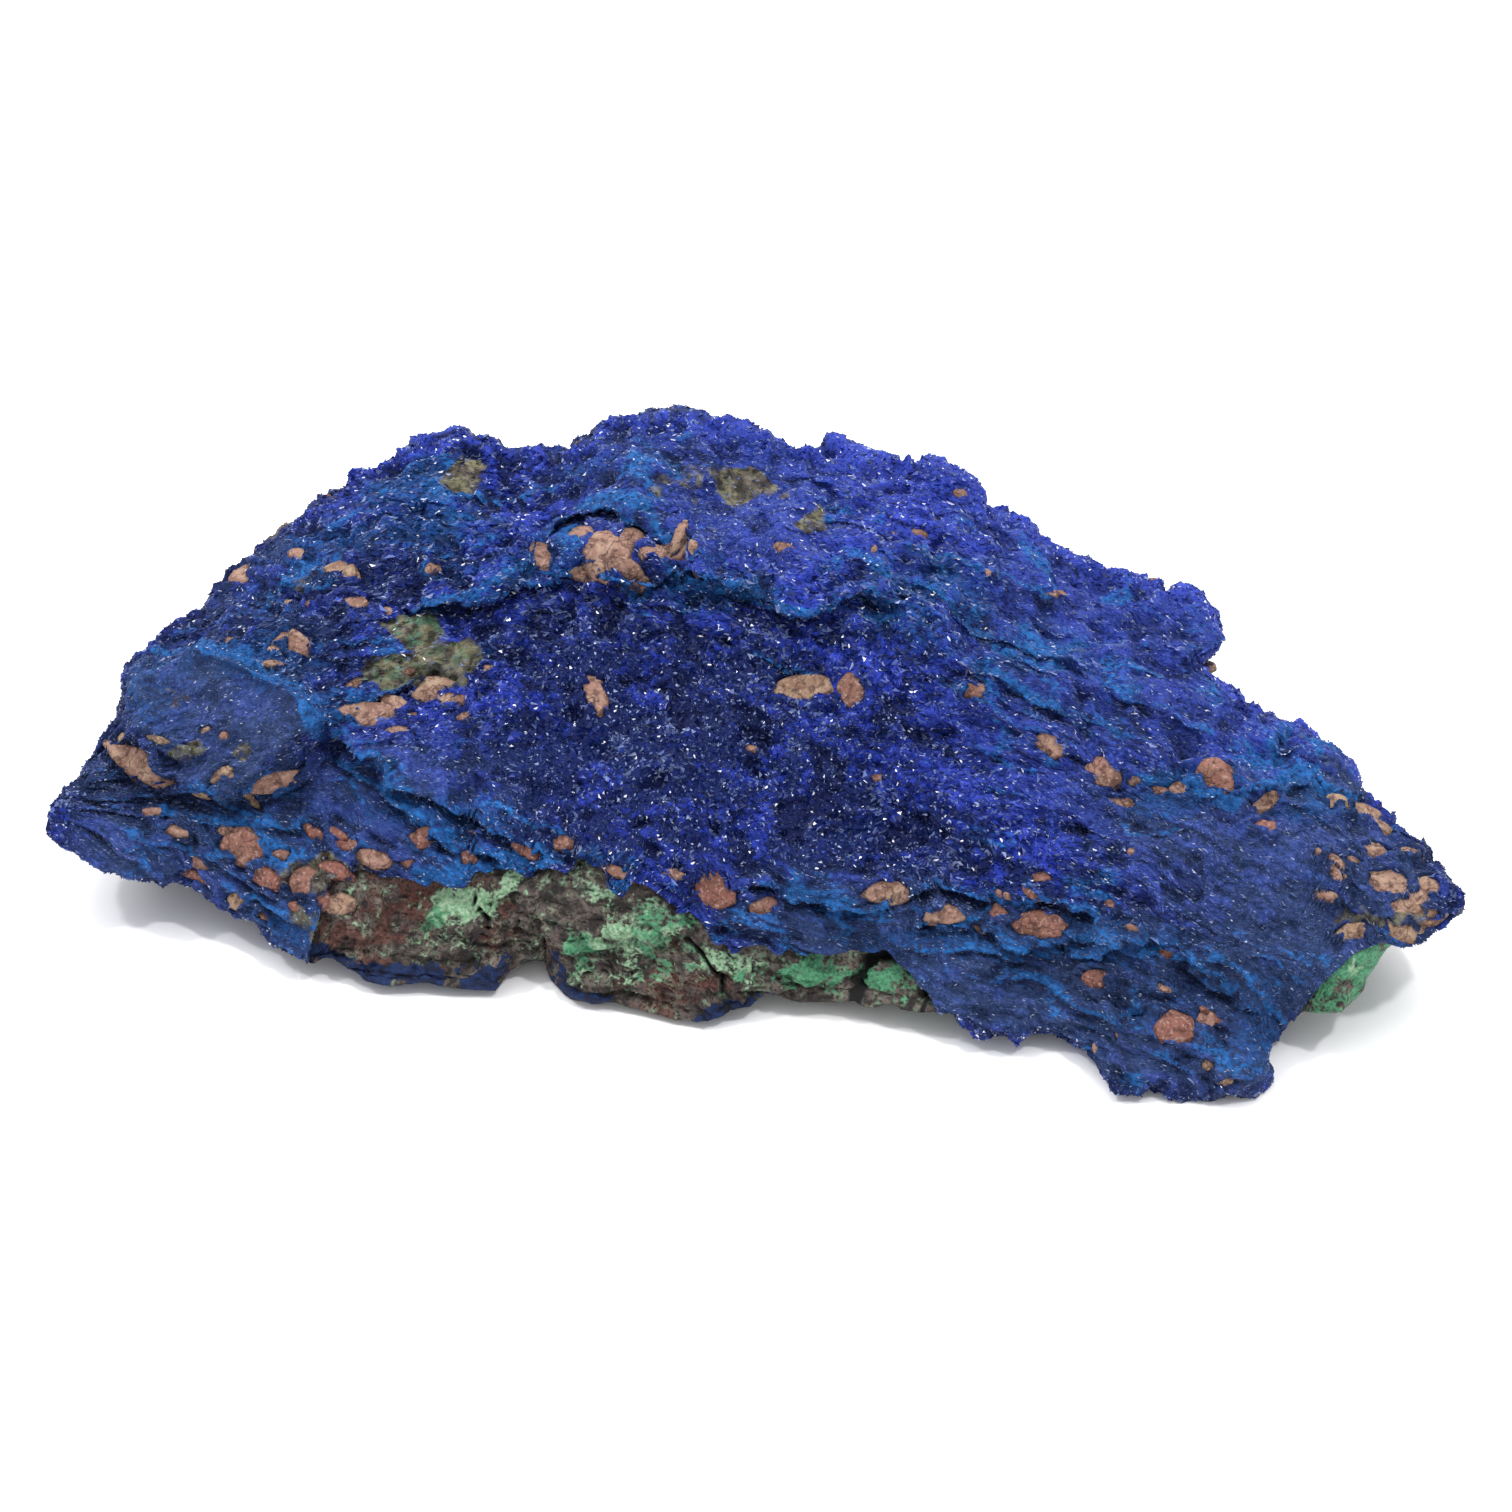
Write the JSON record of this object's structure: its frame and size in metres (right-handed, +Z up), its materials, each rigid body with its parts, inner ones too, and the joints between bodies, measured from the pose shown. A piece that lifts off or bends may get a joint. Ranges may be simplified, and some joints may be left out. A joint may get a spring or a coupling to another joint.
{
  "type": "azurite specimen",
  "caption": "Rough hand specimen of deep blue azurite crust on brown and green host rock, with small clay fragments set in it, lying on its flattened underside.",
  "frame": {"origin": "centre of the bounding box at its base, where the specimen rests", "axes": "+X along the length towards the narrow right-hand tip, +Y towards the back, +Z up; -Y is the front face"},
  "size_m": [0.1206, 0.0674, 0.0324],
  "materials": {
    "azurite": "druse of fine sparkling grains, deep ultramarine",
    "host_rock": "dull rough stone with green films",
    "clay": "dull baked clay, terracotta to tan"
  },
  "bodies": {
    "root": {"azurite_mass": "azurite", "clast_back_centre": "clay", "clast_back_left": "clay", "clast_back_right": "clay", "clast_boss_side": "clay", "clast_boss_under": "clay", "clast_face_long": "clay", "clast_face_short": "clay", "clast_face_sliver": "clay", "clast_foot_block": "clay", "clast_foot_chip": "clay", "clast_hollow_pink": "clay", "clast_hollow_tan": "clay", "clast_ledge_block": "clay", "clast_ledge_brown": "clay", "clast_ledge_chip": "clay", "clast_left_rim": "clay", "clast_low_left": "clay", "clast_low_left_small": "clay", "clast_pocket_centre": "clay", "clast_pocket_left": "clay", "clast_pocket_right": "clay", "clast_right_face": "clay", "clast_right_face_upper": "clay", "clast_right_outer": "clay", "clast_shelf_block": "clay", "clast_shelf_long": "clay", "clast_tip_block": "clay", "clast_tip_end": "clay", "clast_tip_long": "clay", "clast_upper_left": "clay", "clast_upper_left_small": "clay", "host_rock": "host_rock"}
  },
  "joints": []
}
